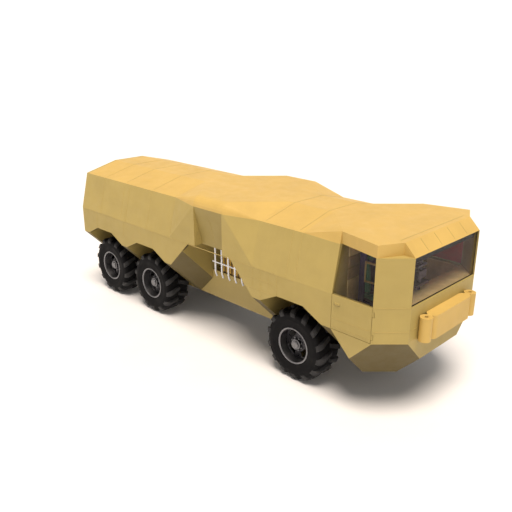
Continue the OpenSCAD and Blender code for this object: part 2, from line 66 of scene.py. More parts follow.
def noise(nodes_, links, scale, detail, squash=(1, 1, 1), rough=0.55):
    """A noise pattern on the piece's own coordinates, stretched by squash."""
    place = nodes_.new("ShaderNodeTexCoord")
    mapping = nodes_.new("ShaderNodeMapping")
    mapping.inputs["Scale"].default_value = squash
    links.new(place.outputs["Object"], mapping.inputs["Vector"])
    pattern = nodes_.new("ShaderNodeTexNoise")
    pattern.inputs["Scale"].default_value = scale
    pattern.inputs["Detail"].default_value = detail
    pattern.inputs["Roughness"].default_value = rough
    links.new(mapping.outputs["Vector"], pattern.inputs["Vector"])
    return pattern.outputs["Fac"]


def ramp(nodes_, links, source, stops):
    """A colour ramp fed by source; stops are (place, colour)."""
    made = nodes_.new("ShaderNodeValToRGB")
    band = made.color_ramp
    while len(band.elements) < len(stops):
        band.elements.new(0.5)
    for element, (place, colour) in zip(band.elements, stops):
        element.position = place
        element.color = (*colour, 1)
    links.new(source, made.inputs["Fac"])
    return made.outputs["Color"]


def mix(nodes_, links, share, a, b, mode="MIX"):
    """Two colours mixed; share, a and b are sockets or plain values."""
    made = nodes_.new("ShaderNodeMix")
    made.data_type = "RGBA"
    made.blend_type = mode
    for socket, value in ((0, share), (6, a), (7, b)):
        if isinstance(value, bpy.types.NodeSocket):
            links.new(value, made.inputs[socket])
        elif socket == 0:
            made.inputs[0].default_value = value
        else:
            made.inputs[socket].default_value = (*value, 1)
    return made.outputs[2]


def bump(nodes_, links, shader, source, strength, distance, below=None):
    made = nodes_.new("ShaderNodeBump")
    made.inputs["Strength"].default_value = strength
    made.inputs["Distance"].default_value = distance
    links.new(source, made.inputs["Height"])
    if below is not None:
        links.new(below, made.inputs["Normal"])
    links.new(made.outputs["Normal"], shader.inputs["Normal"])
    return made.outputs["Normal"]


def worn_edges(nodes_, links, radius):
    """High along the piece's edges: one less the product of its rounded and its true normal."""
    soft = nodes_.new("ShaderNodeBevel")
    soft.samples = 4
    soft.inputs["Radius"].default_value = radius
    true = nodes_.new("ShaderNodeNewGeometry")
    product = nodes_.new("ShaderNodeVectorMath")
    product.operation = "DOT_PRODUCT"
    links.new(soft.outputs["Normal"], product.inputs[0])
    links.new(true.outputs["Normal"], product.inputs[1])
    less = nodes_.new("ShaderNodeMath")
    less.operation = "SUBTRACT"
    less.inputs[0].default_value = 1.0
    links.new(product.outputs["Value"], less.inputs[1])
    return less.outputs["Value"]


def tone(colour, share):
    return tuple(min(1.0, c * share) for c in colour)


def painted(name, colour, roughness=0.55, wear=0.35, dust=0.5, under_shade=1.0):
    """Matt vehicle paint: cloudy fading, fine stipple, dust low on the hull, painted shade on faces
    that turn downwards, and paler edges."""
    made, n, k, shader = new_material(name)
    clouds = ramp(n, k, noise(n, k, 1.3, 6, (1, 1, 1.6)),
                  [(0.3, tone(colour, 0.93)), (0.52, colour), (0.72, tone(colour, 1.05))])
    streaks = noise(n, k, 9, 4, (1, 1, 0.12))
    faded = mix(n, k, ramp(n, k, streaks, [(0.5, (0, 0, 0)), (0.78, (0.28,) * 3)]),
                clouds, tone(colour, 1.12))
    place = n.new("ShaderNodeTexCoord")
    split = n.new("ShaderNodeSeparateXYZ")
    k.new(place.outputs["Object"], split.inputs["Vector"])
    low = n.new("ShaderNodeMapRange")
    low.inputs["From Min"].default_value = 1.5
    low.inputs["From Max"].default_value = 0.6
    low.inputs["To Max"].default_value = 0.32 * dust
    k.new(split.outputs["Z"], low.inputs["Value"])
    dust_and_shade = mix(n, k, low.outputs["Result"], faded, (0.42, 0.33, 0.2))
    parts = n.new("ShaderNodeSeparateXYZ")
    k.new(place.outputs["Normal"], parts.inputs["Vector"])
    # Painted shade: faces that turn downwards are darkened, most where they face straight down.
    under = n.new("ShaderNodeMapRange")
    under.inputs["From Min"].default_value = -0.12
    under.inputs["From Max"].default_value = -0.6
    under.inputs["To Max"].default_value = 0.85 * under_shade
    k.new(parts.outputs["Z"], under.inputs["Value"])
    # The near-black brown mixed in here is painted shade under the hull, laid over the dust.
    dust_and_shade = mix(n, k, under.outputs["Result"], dust_and_shade, (0.05, 0.037, 0.012))
    edges = ramp(n, k, worn_edges(n, k, 0.012), [(0.04, (0, 0, 0)), (0.3, (wear,) * 3)])
    chips = mix(n, k, 1.0, edges, ramp(n, k, noise(n, k, 34, 5), [(0.35, (0, 0, 0)), (0.6, (1, 1, 1))]),
                "MULTIPLY")
    k.new(mix(n, k, chips, dust_and_shade, tone(colour, 1.35)), shader.inputs["Base Color"])
    k.new(ramp(n, k, noise(n, k, 5, 5), [(0.3, (roughness - 0.07,) * 3), (0.7, (roughness + 0.1,) * 3)]),
          shader.inputs["Roughness"])
    bump(n, k, shader, noise(n, k, 260, 2), 0.12, 0.0008)
    shader.inputs["Specular IOR Level"].default_value = 0.35
    return made


def metal(name, colour, roughness, scratch=(1, 1, 1), metallic=1.0):
    made, n, k, shader = new_material(name)
    shader.inputs["Metallic"].default_value = metallic
    lines = noise(n, k, 60, 4, scratch)
    k.new(ramp(n, k, lines, [(0.3, tone(colour, 0.8)), (0.7, tone(colour, 1.12))]),
          shader.inputs["Base Color"])
    k.new(ramp(n, k, lines, [(0.3, (roughness - 0.06,) * 3), (0.7, (roughness + 0.12,) * 3)]),
          shader.inputs["Roughness"])
    bump(n, k, shader, lines, 0.05, 0.0003)
    return made


def rubber(name, colour, roughness=0.75):
    """Matt rubber with fine grain and grey dust in large patches."""
    made, n, k, shader = new_material(name)
    patches = noise(n, k, 4.5, 7)
    dust = (0.016, 0.014, 0.012)
    k.new(ramp(n, k, patches, [(0.42, colour), (0.62, tone(colour, 1.5)), (0.85, dust)]),
          shader.inputs["Base Color"])
    k.new(ramp(n, k, patches, [(0.3, (roughness - 0.12,) * 3), (0.7, (roughness + 0.1,) * 3)]),
          shader.inputs["Roughness"])
    bump(n, k, shader, noise(n, k, 180, 3), 0.3, 0.001)
    shader.inputs["Specular IOR Level"].default_value = 0.16
    return made


def woven(name, colour, threads=420):
    """Coarse seat cloth: two crossed bands of threads, with colour that differs a little by place."""
    made, n, k, shader = new_material(name)
    place = n.new("ShaderNodeTexCoord")
    heights = []
    for turn in (0.0, math.pi / 2):
        mapping = n.new("ShaderNodeMapping")
        mapping.inputs["Rotation"].default_value = (0.7, turn, 0.0)
        k.new(place.outputs["Object"], mapping.inputs["Vector"])
        band = n.new("ShaderNodeTexWave")
        band.inputs["Scale"].default_value = threads / 2
        band.inputs["Distortion"].default_value = 0.6
        k.new(mapping.outputs["Vector"], band.inputs["Vector"])
        heights.append(band.outputs["Fac"])
    weave = mix(n, k, 0.5, heights[0], heights[1])
    worn = ramp(n, k, noise(n, k, 14, 5), [(0.3, tone(colour, 0.75)), (0.7, tone(colour, 1.3))])
    k.new(mix(n, k, 0.35, worn, weave, "OVERLAY"), shader.inputs["Base Color"])
    shader.inputs["Roughness"].default_value = 0.9
    shader.inputs["Sheen Weight"].default_value = 0.35
    bump(n, k, shader, weave, 0.4, 0.0012)
    return made


def moulded(name, colour, roughness=0.5):
    """Grained plastic."""
    made, n, k, shader = new_material(name)
    k.new(ramp(n, k, noise(n, k, 8, 5), [(0.3, tone(colour, 0.85)), (0.7, tone(colour, 1.15))]),
          shader.inputs["Base Color"])
    k.new(ramp(n, k, noise(n, k, 30, 3),
               [(0.3, (roughness - 0.06,) * 3), (0.7, (roughness + 0.08,) * 3)]),
          shader.inputs["Roughness"])
    cells = n.new("ShaderNodeTexVoronoi")
    cells.inputs["Scale"].default_value = 420
    place = n.new("ShaderNodeTexCoord")
    k.new(place.outputs["Object"], cells.inputs["Vector"])
    bump(n, k, shader, cells.outputs["Distance"], 0.25, 0.0008)
    return made


def glazing(name, colour):
    """Thin clear tinted glass with a trace of dust: most of the light goes straight through."""
    made, n, k, shader = new_material(name)
    k.new(ramp(n, k, noise(n, k, 3, 5), [(0.35, colour), (0.75, tone(colour, 0.93))]),
          shader.inputs["Base Color"])
    k.new(ramp(n, k, noise(n, k, 7, 6), [(0.4, (0.0,) * 3), (0.8, (0.03,) * 3)]),
          shader.inputs["Roughness"])
    shader.inputs["Alpha"].default_value = 0.2
    shader.inputs["Specular IOR Level"].default_value = 0.5
    return made


def lens(name, colour):
    made, n, k, shader = new_material(name)
    k.new(ramp(n, k, noise(n, k, 90, 2), [(0.3, tone(colour, 0.7)), (0.7, colour)]),
          shader.inputs["Base Color"])
    shader.inputs["Roughness"].default_value = 0.15
    shader.inputs["Coat Weight"].default_value = 0.6
    bump(n, k, shader, noise(n, k, 160, 1), 0.3, 0.002)
    return made


SAND = (0.395, 0.302, 0.094)
HULL_PAINT = painted("sand_paint", SAND)
ROOF_PAINT = painted("roof_paint", (0.545, 0.37, 0.104), dust=0.0)
STRIP_PAINT = painted("joint_paint", (0.4, 0.3, 0.095), wear=0.6)
FLOOR_PAINT = painted("floor_paint", (0.3, 0.22, 0.1), 0.6, 0.6)
TANK_PAINT = painted("tank_paint", (0.5, 0.3, 0.03), 0.4, 0.4, 0.2)
TANK_BROWN = painted("tank_brown", (0.16, 0.09, 0.02), 0.5, 0.3, 0.2)
WHITE_PAINT = painted("white_paint", (0.9, 0.92, 0.96), 0.35, 0.05, 0.0, 0.0)
AXLE_PAINT = painted("axle_paint", (0.025, 0.024, 0.022), 0.5, 0.6, 0.4, 0.3)
RIM_PAINT = metal("rim_steel_paint", (0.2, 0.2, 0.21), 0.34)
DISC_PAINT = metal("disc_paint", (0.05, 0.05, 0.055), 0.3)
BARE_STEEL = metal("bare_steel", (0.33, 0.34, 0.36), 0.28)
ENGINE_IRON = metal("engine_iron", (0.12, 0.12, 0.12), 0.6, metallic=0.6)
# The faint blue in this near-black is a painted trace of the blue sheen on the tyre's tops.
TYRE_RUBBER = rubber("tyre_rubber", (0.0024, 0.0024, 0.003))
LUG_RUBBER = rubber("lug_rubber", (0.026, 0.026, 0.027), 0.6)
SEAL_RUBBER = rubber("seal_rubber", (0.016, 0.016, 0.017), 0.65)
SEAT_CLOTH = woven("seat_cloth", (0.018, 0.015, 0.045))
BOLSTER_CLOTH = woven("bolster_cloth", (0.04, 0.16, 0.1))
LINER_CLOTH = woven("liner_cloth", (0.5, 0.012, 0.02), 300)
TRIM = moulded("cab_trim", (0.86, 0.66, 0.3))
PANEL_BROWN = moulded("panel_brown", (0.46, 0.33, 0.14))
LOOP_TRIM = moulded("loop_trim", (0.5, 0.36, 0.14), 0.4)
CONTROL_PLASTIC = moulded("control_plastic", (0.035, 0.008, 0.03), 0.4)
SHELL_NAVY = moulded("shell_navy", (0.035, 0.018, 0.11), 0.45)
GLASS = glazing("tinted_glass", (0.012, 0.009, 0.006))
SCREEN = lens("screen_glass", (0.012, 0.016, 0.03))
RED_LENS = lens("red_lens", (0.5, 0.01, 0.008))
AMBER_LENS = lens("amber_lens", (0.7, 0.2, 0.01))

NODE_PAINT = {
    "hull_paint": HULL_PAINT, "roof_paint": ROOF_PAINT, "floor_steel": FLOOR_PAINT,
    "tank_paint": TANK_BROWN, "white_paint": WHITE_PAINT, "tinted_glass": GLASS,
    "cab_trim": TRIM, "control_plastic": CONTROL_PLASTIC, "grip_rubber": SEAL_RUBBER,
    "seat_fabric": SEAT_CLOTH, "engine_iron": ENGINE_IRON, "axle_steel": AXLE_PAINT,
    "rim_steel": RIM_PAINT, "tyre_rubber": TYRE_RUBBER,
}
for part in frame["record"]["subparts"]:
    data = nodes[part["node"]].data
    data.materials.clear()
    data.materials.append(NODE_PAINT[part["material_slot"]])


# ---------- surfaces ----------


def grid_faces(rows, columns, round_rows=False, round_columns=False):
    """Four-sided faces of a grid of points, rows by columns; a round direction closes on itself."""
    i, j = np.meshgrid(np.arange(rows if round_rows else rows - 1),
                       np.arange(columns if round_columns else columns - 1), indexing="ij")
    i2, j2 = (i + 1) % rows, (j + 1) % columns
    return np.stack([i * columns + j, i2 * columns + j, i2 * columns + j2, i * columns + j2],
                    -1).reshape(-1, 4)


def join(*shells):
    """Several (points, faces) put together as one."""
    points, faces, start = [], [], 0
    for p, f in shells:
        points.append(p)
        faces += [[int(v) + start for v in face] for face in f]
        start += len(p)
    return np.concatenate(points), faces


def make(name, shell, material, body=HULL, angle=35, replaces=()):
    """A piece from (points, faces): doubles merged, faces turned outwards, smooth below angle."""
    points, faces = shell
    data = bpy.data.meshes.new(name)
    data.from_pydata(np.asarray(points, float).tolist(), [], [list(map(int, f)) for f in faces])
    work = bmesh.new()
    work.from_mesh(data)
    bmesh.ops.remove_doubles(work, verts=work.verts, dist=1e-6)
    bmesh.ops.recalc_face_normals(work, faces=work.faces)
    work.to_mesh(data)
    work.free()
    data.shade_smooth()
    data.set_sharp_from_angle(angle=math.radians(angle))
    data.materials.append(material)
    made = bpy.data.objects.new(name, data)
    bpy.context.scene.collection.objects.link(made)
    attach(made, body)
    if replaces:
        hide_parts(*replaces)
    return made


def sweep(path, across, up, section):
    """A closed section carried along a path: each point is the path's point, plus the section's
    first number times across, plus its second times up. Both ends are capped."""
    path, section = np.asarray(path, float), np.asarray(section, float)
    across = np.broadcast_to(np.asarray(across, float), path.shape)
    up = np.broadcast_to(np.asarray(up, float), path.shape)
    points = (path[:, None] + section[None, :, :1] * across[:, None]
              + section[None, :, 1:] * up[:, None])
    count, around = len(path), len(section)
    faces = grid_faces(count, around, round_columns=True).tolist()
    faces += [list(range(around)), list(range((count - 1) * around, count * around))]
    return points.reshape(-1, 3), faces


def circle(radius, sides=16):
    """Points of a circle: radius times cosine and sine of even angles."""
    a = np.linspace(0, 2 * np.pi, sides, endpoint=False)
    return radius * np.stack([np.cos(a), np.sin(a)], -1)


def tube(path, radius, flat=(0, 1, 0), sides=16):
    """A round bar along a path that lies square to flat."""
    path = np.asarray(path, float)
    along = np.gradient(path, axis=0)
    along /= np.linalg.norm(along, axis=1, keepdims=True)
    return sweep(path, np.broadcast_to(flat, path.shape), np.cross(along, flat), circle(radius, sides))


def ring(centre, radius, thick, turn, around=64, sides=16):
    """A torus: a circle of radius thick carried round a circle in the plane of the two rows of turn."""
    a = np.linspace(0, 2 * np.pi, around, endpoint=False)[:, None, None]
    b = np.linspace(0, 2 * np.pi, sides, endpoint=False)[None, :, None]
    u, v = np.asarray(turn, float)
    out = np.cos(a) * u + np.sin(a) * v
    points = (np.asarray(centre, float) + (radius + thick * np.cos(b)) * out
              + thick * np.sin(b) * np.cross(u, v))
    return points.reshape(-1, 3), grid_faces(around, sides, True, True).tolist()


def turned(profile, centre, side, around=96, closed=True):
    """A profile of (radius, distance outwards) turned about a wheel's axis, which runs along Y."""
    r, s = np.asarray(profile, float).T
    a = np.linspace(0, 2 * np.pi, around, endpoint=False)[:, None]
    points = np.stack([centre[0] + r * np.cos(a), centre[1] + side * s + 0 * a,
                       centre[2] + r * np.sin(a)], -1)
    return points.reshape(-1, 3), grid_faces(around, len(r), True, closed).tolist()


def slab(low, high, edge=0.006):
    """A plate with cut edges between two corners: a cut rectangle in Y and Z grows from its
    smaller end section to the full one and back along X."""
    low, high = np.minimum(low, high).astype(float), np.maximum(low, high).astype(float)
    edge = min(edge, *(0.45 * (high - low)))
    mid, half = (low + high) / 2, (high - low) / 2
    levels = np.array([-half[0], -half[0] + edge, half[0] - edge, half[0]])
    inset = np.array([edge, 0, 0, edge])
    corner = np.array([[1, -1], [1, 1], [-1, 1], [-1, -1]], float)
    points = []
    for level, d in zip(levels, inset):
        y, z = half[1] - d, half[2] - d
        cut = edge
        loop = []
        for cy, cz in corner:
            first = [cy * y, cz * (z - cut)] if cy * cz < 0 else [cy * (y - cut), cz * z]
            second = [cy * (y - cut), cz * z] if cy * cz < 0 else [cy * y, cz * (z - cut)]
            loop += [first, second] if cy * cz > 0 else [second, first]
        points.append([[level, a, b] for a, b in loop])
    points = np.array(points)
    centre = points[0, :, 1:].mean(0)
    order = np.argsort(np.arctan2(*(points[1, :, 1:] - centre).T[::-1]))
    points = points[:, order] + mid
    faces = grid_faces(4, 8, round_columns=True).tolist()
    return points.reshape(-1, 3), faces + [list(range(8)), list(range(24, 32))]


def cushion(centre, half, power=0.32, lean=0.0, crown=0.12, rows=28, columns=48):
    """A crowned pad: each coordinate is its half size times the cosine and sine of two angles,
    raised to a power below one, with sides that pull in between the corners, leant about Y."""
    v = np.linspace(-np.pi / 2, np.pi / 2, rows)[:, None]
    u = np.linspace(0, 2 * np.pi, columns, endpoint=False)[None, :]
    bent = lambda t: np.sign(t) * np.abs(t) ** power
    x, y = bent(np.cos(v)) * bent(np.cos(u)), bent(np.cos(v)) * bent(np.sin(u))
    z = bent(np.sin(v)) + 0 * u
    pull = 1 - 0.07 * (1 - y ** 2) * np.abs(x) ** 3, 1 - 0.07 * (1 - x ** 2) * np.abs(y) ** 3
    swell = 1 + crown * (1 - x ** 2) * (1 - y ** 2)
    p = np.stack([x * half[0] * pull[0], y * half[1] * pull[1], z * half[2] * swell / (1 + crown)], -1)
    c, s = math.cos(lean), math.sin(lean)
    p = p @ np.array([[c, 0, s], [0, 1, 0], [-s, 0, c]]).T
    faces = grid_faces(rows, columns, round_columns=True).tolist()
    return (p + np.asarray(centre)).reshape(-1, 3), faces


# ---------- where the hull's skin is ----------


def skin_triangles(names):
    """Corners of the CAD triangles of these nodes, as an array of triangle, corner and axis."""
    found = []
    for name in names:
        data = nodes[name].data
        data.calc_loop_triangles()
        co = np.empty(len(data.vertices) * 3)
        data.vertices.foreach_get("co", co)
        index = np.empty(len(data.loop_triangles) * 3, int)
        data.loop_triangles.foreach_get("vertices", index)
        found.append(co.reshape(-1, 3)[index].reshape(-1, 3, 3))
    return np.concatenate(found)


def lay_on(points, axis, sign, triangles):
    """The points moved along an axis to the outermost triangle there: a point is inside a triangle
    seen along the axis if its three shares of the corners are none below zero. Gives the places and
    the triangles' normals; a point off every triangle is dropped."""
    p = np.asarray(points, float)
    flat = [k for k in range(3) if k != axis]
    a, b, c = (triangles[:, k][:, flat] for k in range(3))
    d = (b - a)[:, 0] * (c - a)[:, 1] - (b - a)[:, 1] * (c - a)[:, 0]
    good = np.abs(d) > 1e-9
    a, b, c, d, tri = a[good], b[good], c[good], d[good], triangles[good]
    q = p[:, None][:, :, flat] - a[None]
    v = (q[..., 0] * (c - a)[:, 1] - q[..., 1] * (c - a)[:, 0]) / d
    w = ((b - a)[:, 0] * q[..., 1] - (b - a)[:, 1] * q[..., 0]) / d
    inside = (v >= -1e-6) & (w >= -1e-6) & (v + w <= 1 + 1e-6)
    first, second, third = (tri[:, corner, axis] for corner in range(3))
    height = first + v * (second - first) + w * (third - first)
    height = np.where(inside, sign * height, -np.inf)
    best = height.argmax(1)
    hit = height.max(1) > -np.inf
    normal = np.cross(tri[:, 1] - tri[:, 0], tri[:, 2] - tri[:, 0])
    normal /= np.linalg.norm(normal, axis=1, keepdims=True)
    normal = normal[best]
    normal *= np.sign(normal[:, axis:axis + 1]) * sign
    p = p.copy()
    p[:, axis] = sign * height.max(1)
    return p[hit], normal[hit]


SKIN = skin_triangles([
    n for n in nodes if n.startswith(("cargo_side", "cargo_roof", "mid_", "cab_front", "cab_pillars",
                                      "cab_roof", "nose", "rear_frame"))])


def strip(start, end, axis, sign, width=0.012, height=0.003, steps=60, skin=SKIN):
    """A flat joint strip laid on the skin along the straight line from start to end."""
    t = np.linspace(0, 1, steps)[:, None]
    path, normal = lay_on(np.asarray(start) * (1 - t) + np.asarray(end) * t, axis, sign, skin)
    along = np.gradient(path, axis=0)
    along /= np.linalg.norm(along, axis=1, keepdims=True)
    across = np.cross(normal, along)
    across /= np.linalg.norm(across, axis=1, keepdims=True)
    w = width / 2
    section = [(-w, -0.002), (w, -0.002), (w * 0.8, height), (-w * 0.8, height)]
    return sweep(path, across, normal, section)


TAIL, BELT, UNIT = -4.5, 1.97, 0.2


def along_hull(u):
    return TAIL + u * UNIT


def up_hull(u):
    return BELT + u * UNIT


OFF_EDGE = 0.012
# Upright joints: (place along the hull, top, bottom). Level ones: (start, end, height). All in units.
UPRIGHT = ((4, 4, 0), (8, 4, 0), (9, 4, 0), (13, 4, 0), (17, 4, 0), (33, 4, 0), (34, 4, 0),
           (23, 3, 0.1), (3, -0.1, -1.9), (8.5, -0.1, -1.9), (14, -0.1, -2.4),
           (29, -0.1, -2), (31, -0.1, -2), (30, -0.1, -2.9), (32, -0.1, -2))
LEVEL = ((0.2, 17, 0), (17, 34, 0), (24.6, 31.4, -2), (28.2, 31.6, -1))
strips = []
for side in SIDES.values():
    for u, top, bottom in UPRIGHT:
        strips.append(strip((along_hull(u), 0, up_hull(top) - OFF_EDGE),
                            (along_hull(u), 0, up_hull(bottom) + OFF_EDGE), 1, side))
    for a, b, z in LEVEL:
        strips.append(strip((along_hull(a), 0, up_hull(z) - OFF_EDGE),
                            (along_hull(b), 0, up_hull(z) - OFF_EDGE), 1, side, steps=120))
for side in SIDES.values():
    for z in (0, -2, -2.94):
        strips.append(strip((3.906, 0, up_hull(z)), (4.294, 0, up_hull(z)), 1, side))
for z in (-2, -2.94):
    strips.append(strip((0, -0.98, up_hull(z) + OFF_EDGE), (0, 0.98, up_hull(z) + OFF_EDGE), 0, 1))
for y in (-0.6, -0.2, 0.2, 0.6):
    strips.append(strip((4.12, y, 0), (4.28, y, 0), 2, 1))
strips.append(strip((4.0, -0.95, 0), (4.0, 0.95, 0), 2, 1))
for x in (-3.7, -2.9, -1.9, 1.4, 2.2):
    strips.append(strip((x, -1.15, 0), (x, 1.15, 0), 2, 1, steps=120))
make("joint_strips", join(*strips), STRIP_PAINT, angle=20)


# ---------- wheels ----------

WHEELS = {"front": 2.2, "middle": -2.0, "rear": -3.6}
TRACK, HUB_Z = 1.005, 0.67
LUGS, STUDS, STUD_CIRCLE = 14, 8, 0.118
# A profile lists (distance from the wheel's axis, distance outwards from the wheel's middle).

CARCASS = [(0.322, -0.262), (0.336, -0.264), (0.352, -0.276), (0.400, -0.284), (0.470, -0.288),
           (0.482, -0.291), (0.500, -0.291), (0.512, -0.288), (0.550, -0.287), (0.578, -0.279),
           (0.598, -0.258), (0.609, -0.220), (0.614, -0.140), (0.616, -0.060), (0.616, 0.0)]
CARCASS += [(r, -s) for r, s in reversed(CARCASS[:-1])]
STUD = [(0.0001, 0.135), (0.015, 0.135), (0.015, 0.165), (0.012, 0.169), (0.008, 0.169),
        (0.008, 0.181), (0.0001, 0.183)]
BARREL = [(0.300, -0.280), (0.334, -0.280), (0.3385, -0.275), (0.3385, -0.269), (0.322, -0.266),
          (0.316, -0.260), (0.316, 0.260), (0.322, 0.266), (0.3385, 0.269), (0.3395, 0.275),
          (0.334, 0.2795), (0.316, 0.2795), (0.308, 0.272), (0.304, 0.240), (0.300, 0.130),
          (0.296, 0.0)]
HUB = [(0.052, 0.071), (0.095, 0.071), (0.095, 0.196), (0.082, 0.203), (0.072, 0.205),
       (0.070, 0.226), (0.060, 0.235), (0.018, 0.235), (0.0005, 0.233), (0.0005, 0.213),
       (0.052, 0.211)]


def tread(centre, side, facing):
    """Two rows of angled lugs. Along each lug u goes from 0 at the tyre's middle to 1 low on its
    shoulder; its line follows the carcass and falls back round the wheel as u to the power 1.2, and
    its section is a four-sided block that narrows outwards and dies away at the shoulder."""
    u = np.linspace(0, 1, 12)
    line_s = np.interp(u, [0, 0.68, 0.84, 1], [0.0, 0.215, 0.262, 0.284])
    line_r = np.interp(u, [0, 0.68, 0.84, 1], [0.616, 0.610, 0.588, 0.530])
    rise_s, rise_r = np.gradient(line_s), np.gradient(line_r)
    size = np.hypot(rise_s, rise_r)
    out_s, out_r = -rise_r / size, rise_s / size
    high = np.interp(u, [0, 0.6, 0.78, 0.9, 1], [0.05, 0.058, 0.05, 0.018, 0.003])
    wide = np.interp(u, [0, 0.6, 1], [0.038, 0.05, 0.058])
    across = np.array([-1.15, 1.15, 1.1, 0.8, -0.8, -1.1])
    raised = np.array([-0.6, -0.6, 0.1, 1.0, 1.0, 0.1])
    turn = np.arange(LUGS) * 2 * np.pi / LUGS
    shells = []
    for row, half_step in ((1, 0.0), (-1, np.pi / LUGS)):
        angle = (turn[:, None, None] + half_step + facing * (0.02 + 0.2 * u ** 1.2)[None, :, None]
                 + (wide[:, None] * across)[None] / line_r[None, :, None])
        lift = raised[None, None] * np.where(raised < 0, 0.03, high[:, None])[None]
        r = np.minimum(line_r[None, :, None] + out_r[None, :, None] * lift, 0.6685) + 0 * angle
        s = row * np.minimum(line_s[None, :, None] + out_s[None, :, None] * lift, 0.294) + 0 * angle
        points = np.stack([centre[0] + r * np.cos(angle), centre[1] + side * s,
                           centre[2] + r * np.sin(angle)], -1)
        for lug in points:
            faces = grid_faces(len(u), len(across), round_columns=True).tolist()
            last = (len(u) - 1) * len(across)
            faces += [list(range(len(across))), list(range(last, last + len(across)))]
            shells.append((lug.reshape(-1, 3), faces))
    return shells


def wheel_disc(centre, side):
    """The dished disc: its distance outwards rises with the square of how far a point is from the
    rim, and four windows are left out of the grid of angle and radius."""
    around, rows = 72, 12
    radius = np.linspace(0.088, 0.304, rows)
    share = (radius - radius[0]) / (radius[-1] - radius[0])
    depth = 0.113 + 0.03 * (1 - share) ** 2
    a = np.linspace(0, 2 * np.pi, around, endpoint=False)[:, None]
    points = np.stack([centre[0] + radius * np.cos(a), centre[1] + side * depth + 0 * a,
                       centre[2] + radius * np.sin(a)], -1).reshape(-1, 3)
    faces = grid_faces(around, rows, round_rows=True)
    step = np.arange(len(faces)) // (rows - 1)
    row = np.arange(len(faces)) % (rows - 1)
    turn = (step + 0.5) % (around / 4)
    window = (np.abs(turn - around / 8) < 5) & (row >= 4) & (row <= 8)
    return points, faces[~window].tolist()


for place, x in WHEELS.items():
    for name, side in SIDES.items():
        body = f"wheel_{place}_{name}"
        centre = (x, side * TRACK, HUB_Z)
        facing = 1 if side > 0 else -1
        make(f"tyre_{place}_{name}_tread",
             join(*tread(centre, side, facing)), LUG_RUBBER, body, 40)
        make(f"tyre_{place}_{name}_carcass", turned(CARCASS, centre, side, 120),
             TYRE_RUBBER, body, 40, [f"tyre_{place}_{name}"])
        make(f"rim_{place}_{name}_barrel",
             join(turned(BARREL, centre, side), turned(HUB, centre, side, 48)),
             RIM_PAINT, body, 30, [f"rim_{place}_{name}"])
        disc = make(f"rim_{place}_{name}_disc", wheel_disc(centre, side), DISC_PAINT, body,
                    30)
        wall = disc.modifiers.new("plate", "SOLIDIFY")
        wall.thickness, wall.offset = 0.014, 0
        flat = [(1, 0, 0), (0, 0, 1)]
        bright = [ring((x, side * (TRACK + 0.279), HUB_Z), 0.3345, 0.003, flat, 96, 10),
                  ring((x, side * (TRACK + 0.226), HUB_Z), 0.0725, 0.003, flat, 48, 8)]
        for k in range(STUDS):
            a = 2 * math.pi * (k + 0.5) / STUDS
            stud = (x + STUD_CIRCLE * math.cos(a), side * TRACK, HUB_Z + STUD_CIRCLE * math.sin(a))
            bright.append(turned(STUD, stud, side, 6))
        make(f"rim_{place}_{name}_fittings", join(*bright), BARE_STEEL, body, 25)

# ---------- racks and tank in the open bay ----------

BAR_R, BAR_PITCH, BARS = 0.018, 0.195, 5
LOW_Z, HIGH_Z = 1.17, 1.965
first_x = 0.1 - BAR_PITCH * (BARS - 1) / 2 - 0.09
for name, side in SIDES.items():
    y = side * 0.8
    bars = []
    for i in range(BARS):
        t = np.linspace(0, 1, 24)
        z = LOW_Z + (HIGH_Z - LOW_Z) * t
        bend = 0.05 * np.clip((0.16 - t) / 0.16, 0, 1) ** 2
        path = np.stack([first_x + i * BAR_PITCH + bend, y + 0 * t, z], -1)
        bars.append(tube(path, BAR_R, (0, 1, 0), 20))
    x = np.linspace(first_x - 0.08, first_x - 0.08 + BAR_PITCH * (BARS - 1) - 0.04, 12)
    bars.append(tube(np.stack([x, y + 0 * x, LOW_Z + 0.3 + 0 * x], -1), BAR_R - 0.003, (0, 1, 0), 20))
    replaced = ["side_racks"] if side > 0 else []
    make(f"rack_{name}", join(*bars), WHITE_PAINT, angle=50, replaces=replaced)

tank_low, tank_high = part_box("fuel_tank")
RIBS = 12
for paint, first, name in ((TANK_PAINT, 0, "tank_ribs"), (TANK_BROWN, 1, "tank_straps")):
    ribs = []
    for i in range(first, RIBS * 2, 2):
        a = tank_low.x + (tank_high.x - tank_low.x) * i / (RIBS * 2)
        b = tank_low.x + (tank_high.x - tank_low.x) * (i + 1) / (RIBS * 2)
        deep = 0.022 if first == 0 else 0.008
        for y in (tank_low.y, tank_high.y):
            out = deep if y > 0 else -deep
            ribs.append(slab((a + 0.002, y - 0.2 * out, tank_low.z + 0.02),
                             (b - 0.002, y + out, tank_high.z - 0.02), 0.008))
    make(name, join(*ribs), paint)

# ---------- cab ----------

SEAT_X, SEAT_Y, SEAT_Z = 3.32, -0.64, 1.85
CAB_FLOOR, DASH_TOP, DASH_X = 1.43, 1.96, 3.88
SEAL_WIDTH = 0.022


def at_seat(x, y, z):
    """A place given from the back of the seat's cushion, in metres."""
    return SEAT_X + x, SEAT_Y + y, SEAT_Z + z


glass_low, glass_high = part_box("windshield")
behind, ahead = glass_high.x - 0.002, glass_high.x + 0.006
seal = []
for y in (glass_low.y, glass_high.y):
    inner = y - math.copysign(SEAL_WIDTH, y)
    seal.append(slab((behind, y, glass_low.z), (ahead, inner, glass_high.z)))
for z, d in ((glass_low.z, SEAL_WIDTH), (glass_high.z, -SEAL_WIDTH)):
    seal.append(slab((behind, glass_low.y, z), (ahead, glass_high.y, z + d)))
make("windshield_seal", join(*seal), SEAL_RUBBER)

